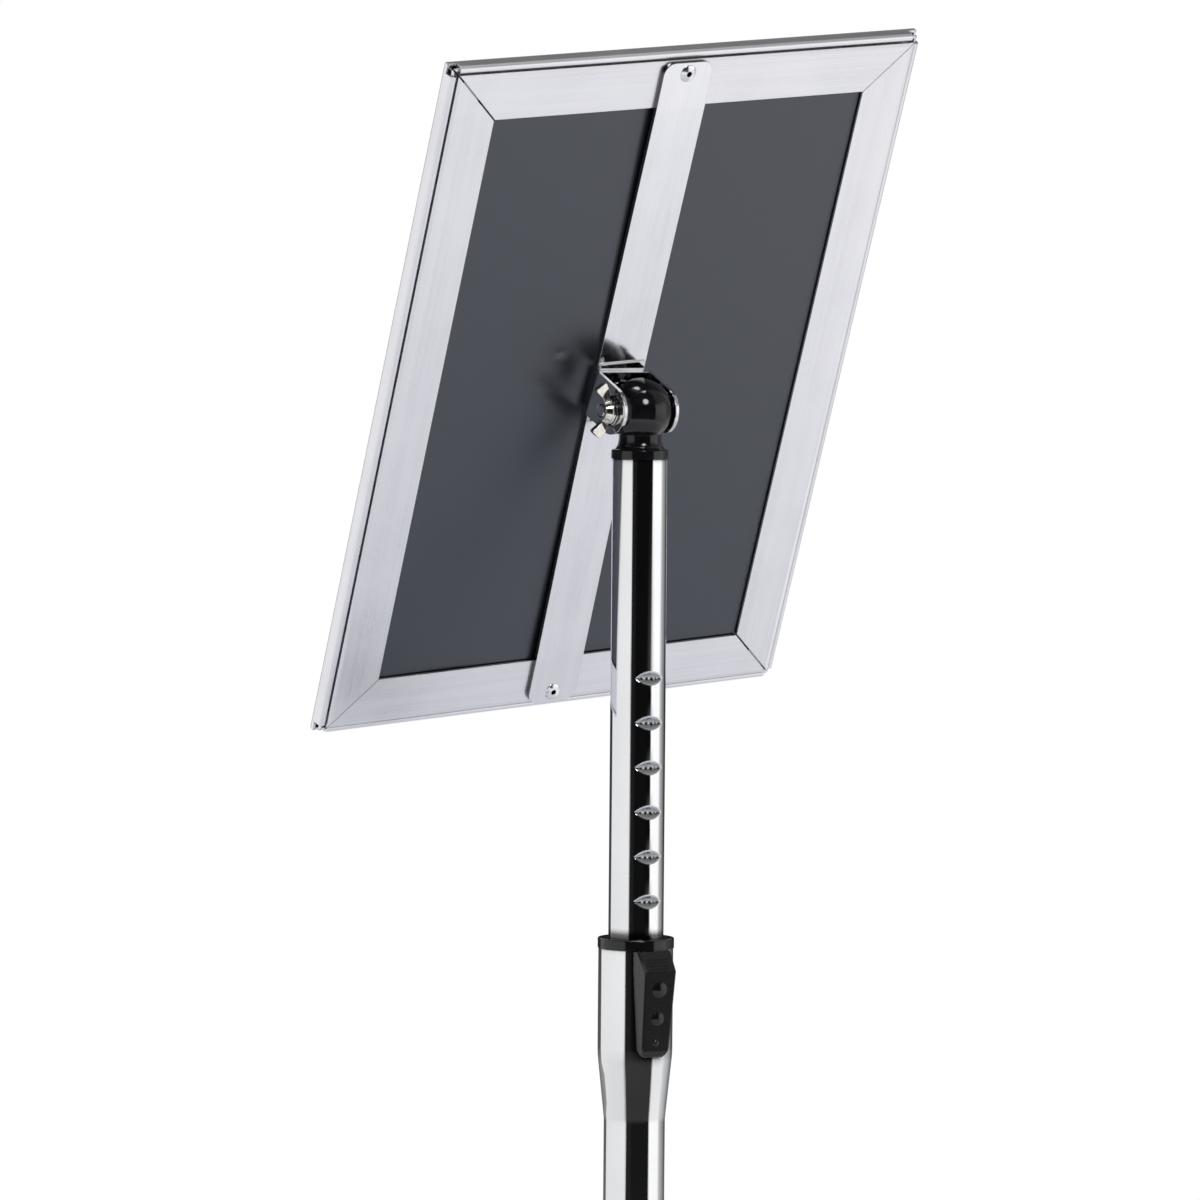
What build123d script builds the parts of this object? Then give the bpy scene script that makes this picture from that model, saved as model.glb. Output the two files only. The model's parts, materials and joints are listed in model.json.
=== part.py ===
from build123d import *
import math
import os

# Floor sign stand: weighted base, telescopic pole with a notch latch, ball head
# with a clamped tilt hinge, and a swivelling snap frame for an A4 sheet.
# Millimetres, +Z up, origin on the floor under the middle of the base.
# The sign's front faces -Y and its back, with the bracket, faces +Y.

# Pose of the model at rest
HINGE_HEIGHT = 1150.0
SIGN_TILT = 26.5
SIGN_TURN = 5.0
LATCH_TURN = -8.2

# Running and assembly gaps
RUNNING_GAP = 0.05
SEAT_GAP = 0.1

# Base
BASE_SIDE = 300.0
BASE_THICKNESS = 8.0
BASE_CORNER_RADIUS = 40.0
FOOT_HEIGHT = 3.0
FOOT_RADIUS = 15.0
FOOT_INSET = 34.0
ROSETTE_RADIUS = 33.0
ROSETTE_HEIGHT = 14.0
PLUG_LENGTH = 26.0
BASE_BOLT_RADIUS = 5.0
BASE_BOLT_HEAD_RADIUS = 10.0
BASE_BOLT_LENGTH = 28.0
BASE_BOLT_SOCKET = 6.0

# Pole
UPPER_TUBE_RADIUS = 12.5
UPPER_TUBE_WALL = 1.0
UPPER_TUBE_LENGTH = 640.0
LOWER_TUBE_CLEARANCE = 0.35
LOWER_TUBE_WALL = 1.0
SLEEVE_WALL = 3.3
COLLAR_LIP = 0.35
COLLAR_TOP_BELOW_HINGE = 238.4
COLLAR_HEIGHT = 4.6
SOCKET_LENGTH = 48.0
TAPER_LENGTH = 29.8
TAPER_TOP_BLEND = 45.0
TAPER_BOTTOM_BLEND = 18.0
SLEEVE_LENGTH = 45.0
BUSH_SKIRT = 14.0
BUSH_PLUG = 22.0

# Pressed notches along the upper tube
NOTCH_PITCH = 20.2
NOTCH_COUNT = 20
NOTCH_RADIUS = 4.2
NOTCH_DEPTH = 1.9
TOP_NOTCH_BELOW_HINGE = 120.4
LOCKED_NOTCH = 7

# Thumb latch
LATCH_TOP_BELOW_HINGE = 243.3
LATCH_LENGTH = 47.8
LATCH_TOP_WIDTH = 15.7
LATCH_BOTTOM_WIDTH = 12.6
LATCH_RIDGE_PROUD = 8.0
LATCH_TOE_PROUD = 3.1
LATCH_TOE_HEIGHT = 2.6
LATCH_RIDGE_DROP = 8.5
LATCH_WALL = 1.8
LATCH_SIDE_DRAFT = 5.0
LATCH_TRAVEL = 4.0
RIB_COUNT = 4
RIB_PITCH = 1.7
RIB_RADIUS = 0.5
DOME_RADII = (3.6, 3.1, 1.6)
DOME_DROPS = (16.8, 30.0, 41.2)
DOME_PROUD = 0.9
WINDOW_WIDTH = 9.0
ROLLER_RADIUS = 1.7
ROLLER_LENGTH = 7.4
ROLLER_STANDOFF = 0.2
SPRING_RADIUS = 1.4
SPRING_SOLID_LENGTH = 7.0

# Ball head
BALL_RADIUS = 14.7
BALL_SEAM_STEP = 0.3
FAR_CHEEK_REACH = 11.9
NEAR_BOSS_REACH = 14.5
NEAR_BOSS_RADIUS = 8.5
NECK_RADIUS = 9.85
NECK_DROP = 14.0
FLANGE_LIP = 0.6
FLANGE_TOP_DROP = 17.6
FLANGE_HEIGHT = 4.1
SPIGOT_LENGTH = 38.0

# Bracket and clamp
EAR_THICKNESS = 1.8
EAR_RADIUS = 10.8
BRACKET_BEND = 2.2
WEB_INNER_DISTANCE = 16.35
CLAMP_BOLT_RADIUS = 3.0
CLAMP_BOLT_END = 21.9
BOLT_HEAD_RADIUS = 6.2
BOLT_HEAD_HEIGHT = 3.2
BOLT_SQUARE_STEP = 0.3
WASHER_RADIUS = 6.9
WASHER_THICKNESS = 1.0
HUB_RADIUS = 6.2
HUB_BASE_HEIGHT = 1.6
HUB_TIP_RADIUS = 4.3
HUB_LENGTH = 4.2
WING_THICKNESS = 2.4
WING_TIP_START = 3.6
WING_TIP_END = 8.8
WING_TIP_RADIUS = 13.0
WING_TIP_INNER_RADIUS = 9.3
WING_TURN = -9.0

# Swivel
SWIVEL_RADIUS = 5.0
SWIVEL_BORE = 3.9
SWIVEL_RIM_RADIUS = 6.7
SWIVEL_RIM_HEIGHT = 0.9
COUNTERBORE_DEPTH = 1.1
FRICTION_PLATE_WIDTH = 24.0
FRICTION_PLATE_HEIGHT = 29.0
FRICTION_PLATE_THICKNESS = 1.0

# Strap
STRAP_WIDTH = 25.6
STRAP_THICKNESS = 2.0
STRAP_END_INSET = 4.2
STRAP_CORNER_RADIUS = 5.5
STRAP_DISH = 1.85
STRAP_MIDDLE_HALF = 20.0
RIVET_FROM_EDGE = 9.5
RIVET_SHANK_RADIUS = 2.0
RIVET_HEAD_RADIUS = 4.1
RIVET_HEAD_HEIGHT = 1.1
RIVET_BORE_RADIUS = 1.3
RIVET_TAIL_RADIUS = 2.6
RIVET_TAIL_HEIGHT = 1.8

# Snap frame, the sheet that sets its size, and its middle measured from the swivel
FRAME_SIDE_SHIFT = -1.7
FRAME_RISE = 1.5
SHEET_WIDTH = 210.0
SHEET_HEIGHT = 297.0
FLAT_START = 3.7
FLAT_RIM_WIDTH = 1.7
FLAT_RIM_DROP = 0.3
FLAT_END = 26.45
FRAME_WALL = 1.2
BEAD_SETBACK = 2.1
BEAD_DEPTH = 3.0
BEAD_RADIUS = 0.8
BEAD_ARM = 0.6
BEAD_ARM_ANGLE = 50.0
BEAD_ARM_LENGTH = 2.85
BEAD_WALL_THICKNESS = 1.0
CLAW_RADIUS = 2.05
CLAW_START_ANGLE = 79.0
CLAW_END_ANGLE = 296.0
BEAD_WALL_START = 5.8
STOP_WALL_START = 18.0
STOP_WALL_THICKNESS = 1.0
STOP_WALL_TOP = 4.8
RAIL_DEPTH = 8.8
RAIL_WALL = 1.2
RAIL_WIDTH = 25.0
RAIL_SHOULDER_RADIUS = 1.8
RAIL_SLOPE = 1.1
RAIL_INNER_RADIUS = 1.6
CLAW_END_SETBACK = 4.6
CLAW_CLEARANCE = 0.4
RAIL_MITRE_GAP = 0.12
TIGHT_MITRE_GAP = 0.15
OPEN_MITRE_GAP = 0.55
MITRE_CUT_DEPTH = 40.0
PANEL_SEAT_HEIGHT = 0.7
PANEL_SEAT_WIDTH = 2.2
PANEL_THICKNESS = 2.0
INSERT_THICKNESS = 0.25
COVER_THICKNESS = 0.8
SHEET_MARGIN = 0.4
PANEL_GAP = 0.4
CORNER_ARM_LENGTH = 34.0
CORNER_ARM_WIDTH = 9.0
CORNER_THICKNESS = 1.8
LEAF_LENGTH = 12.0
LEAF_THICKNESS = 0.4
LEAF_REACH = 7.5
LEAF_CLEARANCE = 0.4
LEAF_DROOP = 1.0

# Heights worked out from the driving dimensions
plate_bottom = FOOT_HEIGHT
plate_top = plate_bottom + BASE_THICKNESS
collar_top = HINGE_HEIGHT - COLLAR_TOP_BELOW_HINGE
socket_top = collar_top - COLLAR_HEIGHT
taper_top = socket_top - SOCKET_LENGTH
taper_bottom = taper_top - TAPER_LENGTH
upper_tube_top = HINGE_HEIGHT - FLANGE_TOP_DROP - FLANGE_HEIGHT
upper_tube_bottom = upper_tube_top - UPPER_TUBE_LENGTH
lock_height = HINGE_HEIGHT - TOP_NOTCH_BELOW_HINGE - LOCKED_NOTCH * NOTCH_PITCH
latch_top = HINGE_HEIGHT - LATCH_TOP_BELOW_HINGE
latch_bottom = latch_top - LATCH_LENGTH
latch_ridge = latch_top - LATCH_RIDGE_DROP

# Radii worked out from the driving dimensions
upper_tube_bore = UPPER_TUBE_RADIUS - UPPER_TUBE_WALL
lower_tube_bore = UPPER_TUBE_RADIUS + LOWER_TUBE_CLEARANCE
lower_tube_radius = lower_tube_bore + LOWER_TUBE_WALL
sleeve_bore = UPPER_TUBE_RADIUS + RUNNING_GAP
socket_bore = sleeve_bore + SLEEVE_WALL + SEAT_GAP
socket_radius = socket_bore + LOWER_TUBE_WALL
collar_radius = socket_radius + COLLAR_LIP
latch_ridge_reach = socket_radius + LATCH_RIDGE_PROUD
latch_toe_reach = socket_radius + LATCH_TOE_PROUD
flange_radius = UPPER_TUBE_RADIUS + FLANGE_LIP
bolt_square = 2 * (CLAMP_BOLT_RADIUS + BOLT_SQUARE_STEP)

# Distances from the clamp bolt's axis towards the sign
web_outer_distance = WEB_INNER_DISTANCE + EAR_THICKNESS
plate_distance = web_outer_distance + SEAT_GAP
strap_distance = plate_distance + FRICTION_PLATE_THICKNESS
strap_back_distance = strap_distance + STRAP_THICKNESS
frame_distance = strap_back_distance - STRAP_DISH

# Distances along the clamp bolt, whose nut is on the near side of the ball
near_inner = NEAR_BOSS_REACH + SEAT_GAP
near_outer = near_inner + EAR_THICKNESS
far_inner = FAR_CHEEK_REACH + SEAT_GAP
far_outer = far_inner + EAR_THICKNESS
bracket_middle = (near_outer - far_outer) / 2
nut_start = near_outer + WASHER_THICKNESS

# Outside size of the snap frame, round the sheet
stop_wall_end = STOP_WALL_START + STOP_WALL_THICKNESS
sheet_edge = stop_wall_end + PANEL_GAP + SHEET_MARGIN
frame_width = SHEET_WIDTH + 2 * sheet_edge
frame_height = SHEET_HEIGHT + 2 * sheet_edge

# Depths inside the snap frame, from its back flat towards its front
panel_depth = FRAME_WALL + PANEL_SEAT_HEIGHT
insert_depth = panel_depth + PANEL_THICKNESS
cover_depth = insert_depth + INSERT_THICKNESS
rail_lip_depth = cover_depth + COVER_THICKNESS + RUNNING_GAP
claw_clear_depth = BEAD_DEPTH + CLAW_RADIUS + CLAW_CLEARANCE
leaf_top = RAIL_DEPTH - RAIL_WALL - RAIL_SLOPE - LEAF_CLEARANCE
strap_half = frame_height / 2 - STRAP_END_INSET

# Where the pieces go
at_hinge = Pos(0, 0, HINGE_HEIGHT) * Rot(-SIGN_TILT, 0, 0)
at_sign = at_hinge * Pos(bracket_middle, 0, 0) * Rot(0, SIGN_TURN, 0)
at_frame = at_sign * Pos(FRAME_SIDE_SHIFT, 0, FRAME_RISE)
at_latch = Rot(0, 0, LATCH_TURN)


def turned(outline):
    """Revolve an outline drawn as (radius, height) about the Z axis."""
    return revolve(Plane.XZ * outline, Axis.Z)


def tube(outer, inner, bottom, top):
    """Straight tube between two heights."""
    height = top - bottom
    return Pos(0, 0, bottom + height / 2) * (Cylinder(outer, height) - Cylinder(inner, height))


def rod(radius, bottom, top):
    """Solid round bar between two heights."""
    return Pos(0, 0, (bottom + top) / 2) * Cylinder(radius, top - bottom)


def cross_rod(radius, start, end):
    """Solid round bar along X between two distances."""
    return Pos((start + end) / 2, 0, 0) * Rot(0, 90, 0) * Cylinder(radius, end - start)


def block(low, high):
    """Box between two corners."""
    size = [b - a for a, b in zip(low, high)]
    middle = [(a + b) / 2 for a, b in zip(low, high)]
    return Pos(*middle) * Box(*size)


def base_plate():
    """Steel plate with rounded corners and a countersunk hole for the base bolt."""
    sheet = RectangleRounded(BASE_SIDE, BASE_SIDE, BASE_CORNER_RADIUS)
    plate = extrude(Pos(0, 0, plate_bottom) * sheet, BASE_THICKNESS)
    plate = fillet(plate.faces().sort_by(Axis.Z)[-1].edges(), 2.0)
    sink = BASE_BOLT_HEAD_RADIUS - BASE_BOLT_RADIUS
    countersink = Pos(0, 0, plate_bottom + sink / 2) * Cone(
        BASE_BOLT_HEAD_RADIUS + RUNNING_GAP, BASE_BOLT_RADIUS + RUNNING_GAP, sink)
    hole = rod(BASE_BOLT_RADIUS + RUNNING_GAP, plate_bottom - 1, plate_top + 1)
    return plate - countersink - hole


def base_feet():
    """Four rubber pads under the corners of the plate."""
    reach = BASE_SIDE / 2 - FOOT_INSET
    pad = rod(FOOT_RADIUS, 0, FOOT_HEIGHT)
    pad = chamfer(pad.faces().sort_by(Axis.Z)[0].edges(), 0.6)
    return [Pos(x, y, 0) * pad for x in (-reach, reach) for y in (-reach, reach)]


def base_bolt():
    """Countersunk socket bolt from below into the tube plug."""
    sink = BASE_BOLT_HEAD_RADIUS - BASE_BOLT_RADIUS
    head = Pos(0, 0, plate_bottom + sink / 2) * Cone(BASE_BOLT_HEAD_RADIUS, BASE_BOLT_RADIUS, sink)
    shank = rod(BASE_BOLT_RADIUS, plate_bottom + sink / 2, plate_bottom + BASE_BOLT_LENGTH)
    socket = extrude(Pos(0, 0, plate_bottom) * RegularPolygon(BASE_BOLT_SOCKET / 2, 6), sink - 1)
    return head + shank - socket


def tube_plug():
    """Threaded steel plug welded into the foot of the outer tube."""
    outer = lower_tube_bore - RUNNING_GAP
    plug = tube(outer, BASE_BOLT_RADIUS + RUNNING_GAP, plate_top, plate_top + PLUG_LENGTH)
    return chamfer(plug.edges().sort_by(Axis.Z)[-1], 0.8)


def base_rosette():
    """Domed cover ring round the foot of the pole."""
    bore = lower_tube_radius + SEAT_GAP
    foot = (ROSETTE_RADIUS, plate_top)
    rim = (ROSETTE_RADIUS, plate_top + 1.5)
    crown = (bore + 2.0, plate_top + ROSETTE_HEIGHT)
    curve = Spline(rim, crown, tangents=((-1, 0.35), (-0.12, 1)))
    edges = [Line((bore, plate_top), foot), Line(foot, rim), curve,
             Line(crown, (bore, plate_top + ROSETTE_HEIGHT)),
             Line((bore, plate_top + ROSETTE_HEIGHT), (bore, plate_top))]
    return turned(make_face(edges))


def outer_tube():
    """Outer tube, widened over a blended cone into a socket for the guide sleeve."""
    low_out = (lower_tube_radius, taper_bottom)
    high_out = (socket_radius, taper_top)
    low_in = (lower_tube_bore, taper_bottom)
    high_in = (socket_bore, taper_top)
    edges = [
        Line((lower_tube_bore, plate_top), (lower_tube_radius, plate_top)),
        Line((lower_tube_radius, plate_top), low_out),
        Line(low_out, high_out),
        Line(high_out, (socket_radius, socket_top)),
        Line((socket_radius, socket_top), (socket_bore, socket_top)),
        Line((socket_bore, socket_top), high_in),
        Line(high_in, low_in),
        Line(low_in, (lower_tube_bore, plate_top)),
    ]
    outline = make_face(edges)
    for height, blend in ((taper_top, TAPER_TOP_BLEND), (taper_bottom, TAPER_BOTTOM_BLEND)):
        corners = outline.vertices().filter_by(lambda v: abs(v.Y - height) < RUNNING_GAP)
        outline = fillet(corners, blend)
    return turned(outline) - latch_window(0)


def latch_window(gap):
    """Window through the socket wall and the sleeve, behind the thumb latch."""
    half = WINDOW_WIDTH / 2 - gap
    bottom = latch_bottom + 8 + gap
    top = latch_ridge + 2 - gap
    return at_latch * block((-half, 5, bottom), (half, latch_ridge_reach, top))


def guide_sleeve():
    """Plastic collar with its sleeve inside the socket, which guides the upper tube."""
    collar = tube(collar_radius, sleeve_bore, socket_top, collar_top)
    collar = fillet(collar.edges().filter_by(GeomType.CIRCLE).sort_by(Axis.Z)[-2:], 0.6)
    sleeve = tube(socket_bore - SEAT_GAP, sleeve_bore, socket_top - SLEEVE_LENGTH, socket_top + 1)
    return collar + sleeve - latch_window(0)


def latch_base():
    """Block in the window that carries the roller and the return spring."""
    inner = UPPER_TUBE_RADIUS + 0.5
    outer = socket_radius - 0.1
    body = latch_window(SEAT_GAP) & tube(outer, inner, latch_bottom, latch_top)
    slot_half = ROLLER_RADIUS + 0.3
    slot = block((-ROLLER_LENGTH / 2 - 0.2, 0, lock_height - slot_half),
                 (ROLLER_LENGTH / 2 + 0.2, latch_ridge_reach, lock_height + slot_half))
    pocket = block((-SPRING_RADIUS - 0.3, spring_reach() - SPRING_RADIUS - 0.2, spring_bottom()),
                   (SPRING_RADIUS + 0.3, latch_ridge_reach, spring_top() + 2))
    return body - at_latch * (slot + pocket)


def spring_bottom():
    """Height of the spring's lower end."""
    return latch_bottom + 10.5


def spring_top():
    """Height of the spring's upper end, under the slider's tab."""
    return spring_bottom() + SPRING_SOLID_LENGTH + LATCH_TRAVEL


def spring_reach():
    """Distance of the spring's axis from the pole's axis."""
    return socket_radius - SPRING_RADIUS - 0.2


def latch_spring():
    """Return spring of the thumb latch, as the tube that its turns fill."""
    coil = tube(SPRING_RADIUS, SPRING_RADIUS - 0.4, spring_bottom(), spring_top())
    return at_latch * Pos(0, spring_reach(), 0) * coil


def locking_roller():
    """Steel roller that drops into the notches of the upper tube."""
    reach = UPPER_TUBE_RADIUS + ROLLER_STANDOFF + ROLLER_RADIUS
    roller = cross_rod(ROLLER_RADIUS, -ROLLER_LENGTH / 2, ROLLER_LENGTH / 2)
    return at_latch * Pos(0, reach, lock_height) * roller


def latch_slider():
    """Thumb slider with a ribbed rest on its slope and three domes on its face."""
    seat = socket_radius + 0.15
    side_outline = Polygon(
        (seat - 3, latch_bottom), (latch_toe_reach - 1.4, latch_bottom),
        (latch_toe_reach, latch_bottom + LATCH_TOE_HEIGHT), (latch_ridge_reach, latch_ridge),
        (seat + 0.8, latch_top), (seat - 3, latch_top), align=None)
    side = extrude(Plane.YZ * side_outline, LATCH_TOP_WIDTH, both=True)
    half_top = LATCH_TOP_WIDTH / 2
    half_bottom = LATCH_BOTTOM_WIDTH / 2
    face_outline = Polygon(
        (-half_top, latch_top + 1), (-half_top, latch_ridge), (-half_bottom, latch_bottom),
        (half_bottom, latch_bottom), (half_top, latch_ridge), (half_top, latch_top + 1), align=None)
    toes = face_outline.vertices().sort_by(Axis.Y)[:2]
    face_outline = fillet(toes, 4.5)
    face_plane = Plane(origin=(0, latch_ridge_reach, 0), x_dir=(1, 0, 0), z_dir=(0, -1, 0))
    front = extrude(face_plane * face_outline, latch_ridge_reach - 5, taper=-LATCH_SIDE_DRAFT)
    body = side & front
    ridges = body.edges().filter_by(lambda e: e.center().Y > seat + 0.9)
    body = fillet(ridges, 0.7)
    body = body - rod(seat, latch_bottom - 1, latch_top + 1)

    inner_half = half_bottom - LATCH_WALL
    hollow_outline = Polygon(
        (seat - 3, latch_bottom + 5), (latch_toe_reach - LATCH_WALL, latch_bottom + 5),
        (latch_ridge_reach - LATCH_WALL - 0.6, latch_ridge - 1.2),
        (seat + 1.2, latch_top - 3.2), (seat - 3, latch_top - 3.2), align=None)
    body = body - extrude(Plane.YZ * hollow_outline, inner_half, both=True)

    tab_bottom = spring_top() + RUNNING_GAP
    tab = block((-SPRING_RADIUS, spring_reach() - SPRING_RADIUS, tab_bottom),
                (SPRING_RADIUS, latch_toe_reach - LATCH_WALL + 3.0, tab_bottom + 1.6))
    body = body + tab

    slope = math.atan2(LATCH_RIDGE_DROP, latch_ridge_reach - seat - 0.8)
    for index in range(RIB_COUNT):
        back = 1.3 + index * RIB_PITCH
        reach = latch_ridge_reach - back * math.cos(slope)
        height = latch_ridge + back * math.sin(slope)
        groove = cross_rod(RIB_RADIUS, -half_top + 2.4, half_top - 2.4)
        body = body - Pos(0, reach + RIB_RADIUS * 0.4, height + RIB_RADIUS * 0.3) * groove

    lean = (latch_ridge_reach - latch_toe_reach) / (latch_ridge - latch_bottom - LATCH_TOE_HEIGHT)
    face_turn = -90 - math.degrees(math.atan(lean))
    for radius, drop in zip(DOME_RADII, DOME_DROPS):
        height = latch_top - drop
        reach = latch_ridge_reach - (latch_ridge - height) * lean
        body = body + Pos(0, reach, height) * Rot(face_turn, 0, 0) * dome(radius, DOME_PROUD)
    return at_latch * body


def dome(radius, proud):
    """Shallow dome standing on the XY plane, with a short root below it."""
    sphere_radius = (radius ** 2 + proud ** 2) / (2 * proud)
    return Pos(0, 0, proud - sphere_radius) * Sphere(sphere_radius) & rod(radius, -0.5, proud + 1)


def upper_tube():
    """Telescoping tube with a row of notches pressed into its wall."""
    body = tube(UPPER_TUBE_RADIUS, upper_tube_bore, upper_tube_bottom, upper_tube_top)
    axis_reach = UPPER_TUBE_RADIUS - NOTCH_DEPTH + NOTCH_RADIUS
    bore_fill = Cylinder(upper_tube_bore + 0.02, 4 * NOTCH_RADIUS)
    half_width = UPPER_TUBE_RADIUS
    dimple_radius = NOTCH_RADIUS + UPPER_TUBE_WALL * 0.8
    dimple = Pos(0, axis_reach, 0) * cross_rod(dimple_radius, -half_width, half_width)
    dimple = dimple & bore_fill
    press = Pos(0, axis_reach, 0) * cross_rod(NOTCH_RADIUS, -half_width, half_width)
    heights = [HINGE_HEIGHT - TOP_NOTCH_BELOW_HINGE - i * NOTCH_PITCH for i in range(NOTCH_COUNT)]
    body = body + [at_latch * Pos(0, 0, z) * dimple for z in heights]
    return body - [at_latch * Pos(0, 0, z) * press for z in heights]


def lower_bush():
    """Plastic bush on the lower end of the upper tube, which runs in the outer tube."""
    skirt = rod(lower_tube_bore - RUNNING_GAP, upper_tube_bottom - BUSH_SKIRT, upper_tube_bottom)
    plug = rod(upper_tube_bore - RUNNING_GAP, upper_tube_bottom - 1, upper_tube_bottom + BUSH_PLUG)
    bore = rod(upper_tube_bore - 2.5, upper_tube_bottom - BUSH_SKIRT - 1, upper_tube_bottom + BUSH_PLUG + 1)
    return skirt + plug - bore


def ball():
    """Ball about the hinge with flat cheeks, a step at its seam and a boss on its near side."""
    left_radius = BALL_RADIUS - BALL_SEAM_STEP
    seam = -0.2
    near_cheek = math.sqrt(BALL_RADIUS ** 2 - NEAR_BOSS_RADIUS ** 2)
    left_start = on_circle(left_radius, -FAR_CHEEK_REACH)
    left_end = on_circle(left_radius, seam)
    right_start = on_circle(BALL_RADIUS, seam)
    right_end = on_circle(BALL_RADIUS, near_cheek)
    edges = [
        Line((-FAR_CHEEK_REACH, 0), left_start),
        ThreePointArc(left_start, on_circle(left_radius, -FAR_CHEEK_REACH / 2), left_end),
        Line(left_end, right_start),
        ThreePointArc(right_start, on_circle(BALL_RADIUS, near_cheek / 2), right_end),
        Line(right_end, (near_cheek, 0)),
        Line((near_cheek, 0), (-FAR_CHEEK_REACH, 0)),
    ]
    return revolve(make_face(edges), Axis.X) + cross_rod(NEAR_BOSS_RADIUS, 0, NEAR_BOSS_REACH)


def on_circle(radius, x):
    """Upper point of a circle about the origin, at a distance along X."""
    return (x, math.sqrt(radius ** 2 - x ** 2))


def ball_head():
    """Moulded ball with waisted neck, flange and spigot, at the hinge."""
    flange_bottom = -FLANGE_TOP_DROP - FLANGE_HEIGHT
    spigot = upper_tube_bore - RUNNING_GAP
    throat = (NECK_RADIUS + 0.6, -0.6 * BALL_RADIUS)
    waist = (NECK_RADIUS, -NECK_DROP)
    flare = (flange_radius - 0.5, -FLANGE_TOP_DROP)
    edges = [
        Line((0, 0), throat),
        Spline(throat, waist, flare, tangents=((-0.5, -1), (1, -0.2))),
        Line(flare, (flange_radius, -FLANGE_TOP_DROP - 0.5)),
        Line((flange_radius, -FLANGE_TOP_DROP - 0.5), (flange_radius, flange_bottom)),
        Line((flange_radius, flange_bottom), (spigot, flange_bottom)),
        Line((spigot, flange_bottom), (spigot, flange_bottom - SPIGOT_LENGTH)),
        Line((spigot, flange_bottom - SPIGOT_LENGTH), (0, flange_bottom - SPIGOT_LENGTH)),
        Line((0, flange_bottom - SPIGOT_LENGTH), (0, 0)),
    ]
    head = ball() + turned(make_face(edges))
    bolt_hole = cross_rod(CLAMP_BOLT_RADIUS + RUNNING_GAP, -2 * BALL_RADIUS, 2 * BALL_RADIUS)
    return Pos(0, 0, HINGE_HEIGHT) * (head - bolt_hole)


def clevis_bracket():
    """Bent steel U with rounded ears, one each side of the ball."""
    reach = web_outer_distance
    outer_width = near_outer + far_outer
    inner_width = near_inner + far_inner
    outside = RectangleRounded(outer_width, 2 * reach, BRACKET_BEND)
    inner_bend = BRACKET_BEND - EAR_THICKNESS
    inside = RectangleRounded(inner_width, 2 * WEB_INNER_DISTANCE, inner_bend)
    channel = extrude(outside - inside, EAR_RADIUS, both=True)
    channel = Pos(bracket_middle, 0, 0) * channel
    ears = block((-far_outer, -reach, -EAR_RADIUS), (near_outer, 0, EAR_RADIUS))
    ears = ears + cross_rod(EAR_RADIUS, -far_outer, near_outer)
    channel = channel & ears
    side = block((-far_outer - 1, -bolt_square / 2 - SEAT_GAP, -bolt_square / 2 - SEAT_GAP),
                 (0, bolt_square / 2 + SEAT_GAP, bolt_square / 2 + SEAT_GAP))
    bolt_hole = cross_rod(CLAMP_BOLT_RADIUS + RUNNING_GAP, 0, near_outer + 1)
    swivel_hole = Pos(bracket_middle, 0, 0) * Rot(90, 0, 0) * Cylinder(SWIVEL_RADIUS, 4 * reach)
    return at_hinge * (channel - side - bolt_hole - swivel_hole)


def clevis_bolt():
    """Carriage bolt through ears and ball, with its square neck in the far ear."""
    shank = cross_rod(CLAMP_BOLT_RADIUS, -far_outer, CLAMP_BOLT_END)
    shank = chamfer(shank.edges().sort_by(Axis.X)[-1], 0.6)
    half = bolt_square / 2
    square = block((-far_outer, -half, -half), (-far_inner - 0.1, half, half))
    cap_radius = (BOLT_HEAD_RADIUS ** 2 + BOLT_HEAD_HEIGHT ** 2) / (2 * BOLT_HEAD_HEIGHT)
    ball = Pos(-far_outer - BOLT_HEAD_HEIGHT + cap_radius, 0, 0) * Sphere(cap_radius)
    far = -far_outer - BOLT_HEAD_HEIGHT
    head = ball & block((far - 1, -cap_radius, -cap_radius), (-far_outer, cap_radius, cap_radius))
    return at_hinge * (shank + square + head)


def clamp_washer():
    """Flat washer under the wing nut."""
    washer = cross_rod(WASHER_RADIUS, near_outer, nut_start)
    washer = chamfer(washer.edges().sort_by(Axis.X)[-1], 0.3)
    return at_hinge * (washer - cross_rod(CLAMP_BOLT_RADIUS + RUNNING_GAP, 0, nut_start + 1))


def wing_nut():
    """Cast wing nut with two flared wings."""
    hub_end = nut_start + HUB_LENGTH
    cone_start = nut_start + HUB_BASE_HEIGHT
    cone_length = hub_end - cone_start
    hub = cross_rod(HUB_RADIUS, nut_start, cone_start)
    cone = Cone(HUB_RADIUS - 0.5, HUB_TIP_RADIUS, cone_length)
    hub = hub + Pos(cone_start + cone_length / 2, 0, 0) * Rot(0, 90, 0) * cone
    tip_start = nut_start + WING_TIP_START
    tip_end = nut_start + WING_TIP_END
    wing_outline = Polygon(
        (nut_start + 0.6, HUB_RADIUS - 2.5), (hub_end - 0.5, HUB_RADIUS - 2.5),
        (hub_end, HUB_RADIUS - 0.7), (tip_end, WING_TIP_INNER_RADIUS),
        (tip_start, WING_TIP_RADIUS), (nut_start + 0.9, HUB_RADIUS + 2.0), align=None)
    tips = wing_outline.vertices().filter_by(lambda v: v.Y > HUB_RADIUS + 2.5)
    wing_outline = fillet(tips, 0.8)
    wing = extrude(Plane.XZ * wing_outline, WING_THICKNESS / 2, both=True)
    wings = wing + Rot(180, 0, 0) * wing
    bore = cross_rod(CLAMP_BOLT_RADIUS + RUNNING_GAP, 0, hub_end + 1)
    nut = Rot(WING_TURN, 0, 0) * (hub + wings - bore)
    return Pos(0, 0, HINGE_HEIGHT) * nut


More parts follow.
